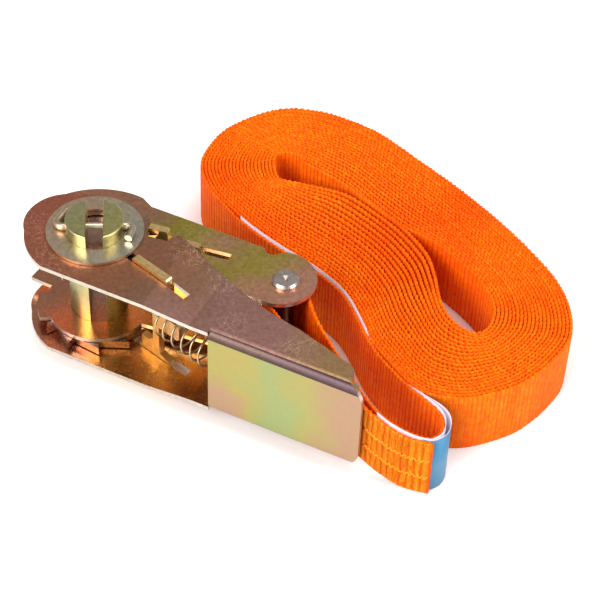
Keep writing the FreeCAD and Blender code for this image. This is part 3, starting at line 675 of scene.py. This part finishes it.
def make_spring(name, body, turn, offset, start, end, radius, turns, joint, material):
    """Wire coil between its pawl and its fixed seat.

    It lies at a turn in degrees from the buckle's line, an offset in millimetres across
    it, and from start to end along it. joint names the joint and the CAD node it replaces.
    """
    heading = BUCKLE_TURN + math.radians(turn)
    along = Vector((math.cos(heading), math.sin(heading), 0))
    across = Vector((-along.y, along.x, 0))
    seat = AXIS + Vector((0, 0, MID_Z)) + across * offset * MM
    points = []
    steps = round(turns * TURN_STEPS)
    for step in range(steps + 1):
        share = step / steps
        eased = share - CLOSE_UP * math.sin(2 * math.pi * share)
        reach = start + WIRE + (end - start - 2 * WIRE) * eased
        angle = 2 * math.pi * turns * share
        ring = across * math.cos(angle) + Vector((0, 0, math.sin(angle)))
        points.append(seat + along * reach * MM + ring * radius * MM)
    obj = tubes(name, [points], WIRE * MM)
    add_piece(obj, material, body, "spring_steel", joint[1])
    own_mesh(obj)


# ---------------------------------------------------------------- stage
def make_floor():
    """Plain pale floor."""
    bpy.ops.mesh.primitive_plane_add(size=8, location=(0, 0, 0))
    floor = bpy.context.object
    floor.name = "floor"
    m = Nodes("floor")
    m.shader.inputs["Base Color"].default_value = (0.93, 0.93, 0.93, 1)
    m.shader.inputs["Roughness"].default_value = 0.8
    floor.data.materials.append(m.material)


def add_light(name, place, target, size, power, colour=(1, 1, 1)):
    """Square soft light at a place, turned to its target."""
    data = bpy.data.lights.new(name, "AREA")
    data.size = size
    data.energy = power
    data.color = colour
    light = bpy.data.objects.new(name, data)
    light.location = place
    light.rotation_euler = (Vector(target) - Vector(place)).to_track_quat("-Z", "Y").to_euler()
    bpy.context.scene.collection.objects.link(light)


def make_stage():
    """Floor, four soft lights and a pale surround."""
    make_floor()
    add_light("left", (-0.85, -0.80, 0.90), (0, 0, 0), size=0.9, power=24)
    add_light("right", (1.05, -0.45, 0.65), (0, 0, 0), size=0.7, power=10)
    add_light("overhead", (0.2, 0.05, 1.2), (0, 0, 0), size=0.7, power=8)
    add_light("low", (-0.40, -0.75, 0.10), (-0.06, -0.02, 0.02), size=0.35, power=3.0,
              colour=(1.0, 0.93, 0.82))
    world = bpy.data.worlds.new("studio")
    world.use_nodes = True
    background = world.node_tree.nodes["Background"]
    background.inputs["Color"].default_value = (1.0, 0.98, 0.95, 1)
    background.inputs["Strength"].default_value = 0.36
    bpy.context.scene.world = world
    bpy.context.scene.view_settings.view_transform = "Standard"


# ---------------------------------------------------------------- finishes of the CAD nodes
# Colours of the plating from the round head to the grip's end.
HANDLE = [(0.05, (0.47, 0.16, 0.10)), (0.30, (0.38, 0.16, 0.085)), (0.45, (0.32, 0.17, 0.105)),
          (0.60, (0.38, 0.20, 0.165)), (0.80, (0.41, 0.21, 0.18)), (0.95, (0.38, 0.23, 0.11))]
FRAME = [(0.12, (0.60, 0.27, 0.17)), (0.30, (0.50, 0.27, 0.17)), (0.36, (0.46, 0.37, 0.06)),
         (0.50, (0.52, 0.40, 0.09)), (0.60, (0.68, 0.34, 0.22)), (0.75, (0.72, 0.36, 0.27))]
LOWER = [(0.10, (0.64, 0.30, 0.18)), (0.22, (0.60, 0.28, 0.17)), (0.34, (0.86, 0.46, 0.14)),
         (0.46, (0.70, 0.36, 0.13)), (0.58, (0.32, 0.14, 0.07))]
BRIDGE = [(0.54, (0.42, 0.26, 0.16)), (0.62, (0.38, 0.32, 0.10)), (0.76, (0.29, 0.34, 0.14)),
          (0.90, (0.36, 0.32, 0.11)), (1.00, (0.40, 0.25, 0.155))]
# The upper bend's colour is painted shade: near-black, standing in for the dark the bend reflects.
BEND_SHADE = [(0.55, (0.09, 0.055, 0.045)), (0.95, (0.07, 0.045, 0.05))]
WHEEL = [(0.05, (0.46, 0.24, 0.20)), (0.20, (0.50, 0.30, 0.24)), (0.40, (0.42, 0.24, 0.12))]
GOLD = [(0.10, (0.66, 0.38, 0.16)), (0.35, (0.92, 0.66, 0.28)), (0.75, (0.80, 0.50, 0.30))]
WASHER_PLATE = [(0.02, (0.66, 0.46, 0.32)), (0.18, (0.64, 0.53, 0.37)), (0.32, (0.54, 0.50, 0.40))]
MOON = [(0.10, (0.48, 0.46, 0.26)), (0.28, (0.52, 0.48, 0.20))]
CUT = [(0.30, (0.56, 0.50, 0.42)), (0.70, (0.64, 0.57, 0.51))]
# The rivet's shank inside the strap's loop is painted near-black: painted shade.
SHANK_SHADE = [(0.50, (0.12, 0.05, 0.03)), (0.90, (0.15, 0.07, 0.04))]
SILVER = [(0.50, (0.46, 0.40, 0.34)), (0.72, (0.56, 0.48, 0.46)), (0.85, (0.60, 0.56, 0.58))]
SPRING = [(0.30, (0.52, 0.38, 0.20)), (0.70, (0.44, 0.36, 0.24))]
EDGE_ROUNDING = 0.22 * MM
# Slots of a channel's finishes, and of the rivet's.
UPPER_PLATE, BRIDGE_FACE, SHEARED_EDGE, UPPER_BEND, LOWER_PLATE = range(5)
RIVET_HEADS, RIVET_SHANK = range(2)
# The bridge lies within this depth of a channel's bent side, and its polygons are taller
# than a sheared edge; the shank reaches this far up and down from the middle.
BRIDGE_DEPTH = 4.0 * MM
EDGE_HEIGHT = 2.2 * MM
SHANK_REACH = 14 * MM
# Shares of a normal: square on to the bent side, turned to it, neither upright nor level
# (a bend), and mostly up or down (a plate).
SQUARE_ON = 0.85
TURNED_TO = 0.2
BENT = (0.02, 0.93)
PLATE_LEVEL = 0.7


def plan_normal(degrees):
    """Direction in plan, so many degrees from the buckle's line."""
    angle = BUCKLE_TURN + math.radians(degrees)
    return Vector((math.cos(angle), math.sin(angle), 0))


def channel_finish(polygon, across, reach, vertices):
    """Which finish a polygon of a channel takes."""
    heights = [vertices[index].co.z for index in polygon.vertices]
    tall = max(heights) - min(heights) > EDGE_HEIGHT
    near_bridge = (polygon.center - AXIS).dot(across) > reach - BRIDGE_DEPTH
    facing = polygon.normal.dot(across)
    level = abs(polygon.normal.z)
    upper = polygon.center.z > MID_Z
    if near_bridge and tall and facing > SQUARE_ON:
        return BRIDGE_FACE
    # The upper bend takes the dark painted shade; a lower bend takes the bridge's finish.
    if near_bridge and facing > TURNED_TO and BENT[0] < level < BENT[1]:
        return UPPER_BEND if upper else BRIDGE_FACE
    if level > PLATE_LEVEL:
        return UPPER_PLATE if upper else LOWER_PLATE
    return SHEARED_EDGE


def paint_channel(obj, finishes, bent_side):
    """Bent sheet: its plates, bridge, sheared edges and lower bends take different finishes; its
    upper bend takes a painted shade.
    """
    paint(obj, *finishes)
    across = plan_normal(bent_side)
    vertices = obj.data.vertices
    reach = max((vertex.co - AXIS).dot(across) for vertex in vertices)
    for polygon in obj.data.polygons:
        polygon.material_index = channel_finish(polygon, across, reach, vertices)


def paint_rivet(obj, head, shank):
    """Rivet: bright heads, and its shank inside the strap's loop painted dark as painted shade."""
    paint(obj, head, shank)
    for polygon in obj.data.polygons:
        in_loop = abs(polygon.center.z - MID_Z) < SHANK_REACH
        polygon.material_index = RIVET_SHANK if in_loop else RIVET_HEADS


def soften_edges(obj, width):
    """Rounds the edges a little and shades shallow steps of pressed sheet smoothly."""
    obj.data.shade_smooth()
    obj.data.set_sharp_from_angle(angle=math.radians(30))
    bevel = obj.modifiers.new("soft_edges", "BEVEL")
    bevel.width = width
    bevel.segments = 2
    bevel.limit_method = "ANGLE"
    bevel.angle_limit = math.radians(40)
    shading = obj.modifiers.new("even_shading", "WEIGHTED_NORMAL")
    shading.keep_sharp = True


def paint_buckle():
    """Finishes of the CAD nodes that stay as they are."""
    bridge = plated_steel("bridge_plate", BRIDGE, grain=0.15, curls=0.0)
    cut = plated_steel("cut_edge", CUT, curls=0.0)
    # Painted shade: the upper bend is coloured near-black for the dark it reflects.
    bend = plated_steel("bend_painted_shade", BEND_SHADE, rough=(0.34, 0.44), curls=0.0)
    lower = plated_steel("lower_plate", LOWER, rough=(0.18, 0.34), curls=0.0)
    handle = plated_steel("handle_plate", HANDLE, rough=(0.34, 0.50), curls=0.8)
    paint_channel(NODES["handle_channel"], (handle, bridge, cut, bend, lower), -90)
    frame_plate = plated_steel("frame_plate", FRAME)
    paint_channel(NODES["frame_channel"], (frame_plate, bridge, cut, bend, lower), 90)
    silver = plated_steel("rivet_plate", SILVER)
    # Painted shade on the rivet's shank inside the strap's loop.
    shank = plated_steel("shank_painted_shade", SHANK_SHADE, curls=0.0)
    paint_rivet(NODES["anchor_rivet"], silver, shank)
    gold = plated_steel("pawl_plate", GOLD)
    wheel = plated_steel("wheel_plate", WHEEL, rough=(0.20, 0.36))
    washer = plated_steel("washer_plate", WASHER_PLATE, curls=0.2)
    moon = plated_steel("moon_plate", MOON, curls=0.2)
    for material, nodes in (
        (gold, ("drive_pawl", "lock_pawl")),
        (wheel, ("wheel_upper", "wheel_lower")),
        (washer, ("washer_upper", "washer_lower", "split_pin_upper", "split_pin_lower")),
        (moon, ("half_moon_left", "half_moon_right")),
    ):
        for node in nodes:
            paint(NODES[node], material)
    for node in ("handle_channel", "frame_channel", "drive_pawl", "lock_pawl"):
        soften_edges(NODES[node], EDGE_ROUNDING)


def make_springs():
    """The two pawls' springs."""
    steel = plated_steel("spring_plate", SPRING, grain=0.3, curls=0.0)
    make_spring("drive_coil", "handle", turn=-16.0, offset=0.0, start=30.1, end=53.7,
                radius=4.9, turns=6.0, joint=("drive_pawl_slide", "drive_spring"),
                material=steel)
    make_spring("lock_coil", "frame", turn=8.0, offset=8.8, start=33.6, end=47.9,
                radius=4.4, turns=5.0, joint=("lock_pawl_slide", "lock_spring"),
                material=steel)


make_camera()
strap, strap_points, strap_run = make_strap(webbing_material())
label = make_label(strap_points, strap_run, label_material())
paint_buckle()
make_sewing(strap_points, thread_material())
make_springs()
make_stage()
